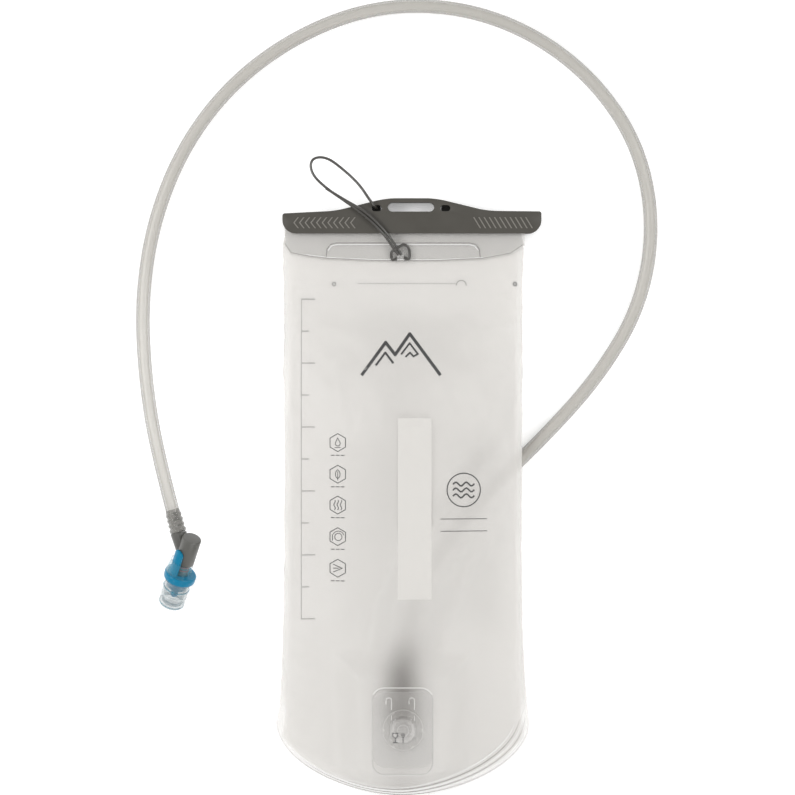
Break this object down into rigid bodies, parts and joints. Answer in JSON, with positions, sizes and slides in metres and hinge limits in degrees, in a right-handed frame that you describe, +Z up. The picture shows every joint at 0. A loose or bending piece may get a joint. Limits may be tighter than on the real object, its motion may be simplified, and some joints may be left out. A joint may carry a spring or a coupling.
{
  "type": "hydration bladder",
  "caption": "Soft water reservoir of welded film with a slide-off top bar, lower outlet port with plug-in elbow, drinking hose and angled twist-lock bite valve.",
  "frame": {"origin": "on the surface that the bag lies on, under the middle of the bag and its slider bar, measured without the hose, the bite valve and the tether", "axes": "+Z up out of the bag's front film, +Y along the bag towards its slider bar, +X across the bag"},
  "size_m": [0.3593, 0.5481, 0.0461],
  "materials": {
    "film": "milky translucent film, soft sheen",
    "lip": "clear moulded strip, satin",
    "dark_plastic": "fine moulded satin",
    "valve_grey": "fine moulded satin",
    "port_clear": "clear moulded plastic",
    "port_grey": "fine moulded satin",
    "collar_blue": "glossy moulded plastic",
    "silicone": "clear silicone, satin",
    "clear_cover": "clear, glossy",
    "hose": "translucent tube, glossy",
    "seal": "satin rubber",
    "spring": "drawn wire",
    "cord": "smooth elastic cord, satin"
  },
  "bodies": {
    "bag": {"front_panel": "film", "back_panel": "film", "baffle_front": "film", "baffle_back": "film", "front_lip": "lip", "back_lip": "lip", "port_patch": "port_clear", "port_housing": "port_grey", "port_gasket": "seal", "port_ring": "port_grey", "valve_cage": "port_clear", "poppet_spring": "spring", "latch_clip": "spring", "hose": "hose", "valve_elbow": "valve_grey", "spigot_seal_upper": "seal", "spigot_seal_lower": "seal", "valve_core": "collar_blue", "tether": "cord", "tether_knot": "cord"},
    "slider": {"slider_bar": "dark_plastic"},
    "plug": {"hose_elbow": "port_grey", "plug_seal": "seal"},
    "poppet": {"poppet": "port_grey", "poppet_seal": "seal"},
    "button": {"release_button": "collar_blue"},
    "twist": {"twist_collar": "collar_blue", "neck_sleeve": "clear_cover", "tab_cover": "clear_cover", "bite_nozzle": "silicone", "seat_ring": "collar_blue"}
  },
  "joints": [
    {"name": "slider_slide", "type": "slide", "parent": "bag", "child": "slider", "axis": [-1, 0, 0], "range_m": [0, 0.178], "deforming": ["tether"]},
    {"name": "plug_pull", "type": "slide", "parent": "bag", "child": "plug", "axis": [0, 0, -1], "range_m": [0, 0.01], "deforming": ["hose", "latch_clip"]},
    {"name": "poppet_lift", "type": "slide", "parent": "bag", "child": "poppet", "axis": [0, 0, -1], "range_m": [0, 0.00245], "deforming": ["poppet_spring"]},
    {"name": "button_press", "type": "slide", "parent": "bag", "child": "button", "axis": [0, 1, 0], "range_m": [0, 0.0015], "stiffness_N_per_m": 1500, "springref_m": -0.0005, "deforming": ["latch_clip"]},
    {"name": "valve_twist", "type": "hinge", "parent": "bag", "child": "twist", "pos_m": [-0.1479, -0.0275, 0.0364], "axis": [0.2834, 0.8183, 0.5], "range_deg": [0, 90]}
  ],
  "couplings": [
    {"joint": "poppet_lift", "follows": "plug_pull", "ratio": 0.245}
  ]
}
